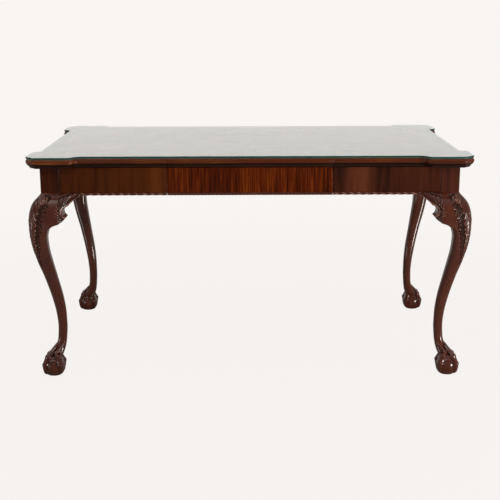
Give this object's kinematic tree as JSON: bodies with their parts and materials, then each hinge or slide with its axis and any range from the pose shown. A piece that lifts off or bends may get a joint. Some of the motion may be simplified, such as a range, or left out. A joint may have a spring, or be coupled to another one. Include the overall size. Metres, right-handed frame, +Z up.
{
  "type": "writing desk",
  "caption": "Rectangular writing desk with frieze drawers, moulded glass-covered top with projecting corners, carved cabriole legs and ball-and-claw feet.",
  "frame": {"origin": "middle of the footprint, on the floor", "axes": "+X to the right of someone who faces the drawers, +Y to the back, +Z up; the drawers slide out towards -Y"},
  "size_m": [1.496, 0.875, 0.775],
  "materials": {
    "mahogany": "dark red-brown mahogany, carved, polished",
    "veneer": "figured mahogany veneer, polished",
    "drawer_veneer": "ribbon-striped mahogany veneer, polished",
    "beading": "carved mahogany, worn highlights",
    "moulding_wood": "dark mahogany moulding, polished",
    "top_veneer": "mahogany veneer under glass",
    "carcase_wood": "plain sawn hardwood",
    "drawer_wood": "planed pale hardwood",
    "glass": "clear float glass, dark green ground edge",
    "clear_rubber": "clear soft disc",
    "screw_steel": "plain steel"
  },
  "bodies": {
    "case": {"front_left_leg": "mahogany", "front_right_leg": "mahogany", "back_left_leg": "mahogany", "back_right_leg": "mahogany", "front_left_bracket_front": "mahogany", "front_right_bracket_front": "mahogany", "back_left_bracket_back": "mahogany", "back_right_bracket_back": "mahogany", "front_left_bracket_side": "mahogany", "front_right_bracket_side": "mahogany", "back_left_bracket_side": "mahogany", "back_right_bracket_side": "mahogany", "left_apron": "veneer", "right_apron": "veneer", "back_apron": "veneer", "left_apron_bead": "beading", "right_apron_bead": "beading", "back_apron_bead": "beading", "front_upper_rail": "mahogany", "front_lower_rail": "mahogany", "left_partition": "carcase_wood", "right_partition": "carcase_wood", "left_inner_runner": "carcase_wood", "right_inner_runner": "carcase_wood", "left_outer_runner": "carcase_wood", "right_outer_runner": "carcase_wood", "left_back_block": "carcase_wood", "right_back_block": "carcase_wood", "top_panel": "top_veneer", "front_centre_moulding": "moulding_wood", "back_centre_moulding": "moulding_wood", "left_moulding": "moulding_wood", "right_moulding": "moulding_wood", "front_left_moulding": "moulding_wood", "front_right_moulding": "moulding_wood", "back_left_moulding": "moulding_wood", "back_right_moulding": "moulding_wood", "glass_bumpers": "clear_rubber", "glass_top": "glass", "top_screws": "screw_steel"},
    "left_drawer": {"left_drawer_front": "drawer_veneer", "left_drawer_bead": "beading", "left_drawer_left_side": "drawer_wood", "left_drawer_right_side": "drawer_wood", "left_drawer_back": "drawer_wood", "left_drawer_bottom": "drawer_wood"},
    "centre_drawer": {"centre_drawer_front": "drawer_veneer", "centre_drawer_bead": "beading", "centre_drawer_left_side": "drawer_wood", "centre_drawer_right_side": "drawer_wood", "centre_drawer_back": "drawer_wood", "centre_drawer_bottom": "drawer_wood"},
    "right_drawer": {"right_drawer_front": "drawer_veneer", "right_drawer_bead": "beading", "right_drawer_left_side": "drawer_wood", "right_drawer_right_side": "drawer_wood", "right_drawer_back": "drawer_wood", "right_drawer_bottom": "drawer_wood"}
  },
  "joints": [
    {"name": "left_drawer_slide", "type": "slide", "parent": "case", "child": "left_drawer", "axis": [0, -1, 0], "range_m": [0, 0.3]},
    {"name": "centre_drawer_slide", "type": "slide", "parent": "case", "child": "centre_drawer", "axis": [0, -1, 0], "range_m": [0, 0.3]},
    {"name": "right_drawer_slide", "type": "slide", "parent": "case", "child": "right_drawer", "axis": [0, -1, 0], "range_m": [0, 0.3]}
  ]
}
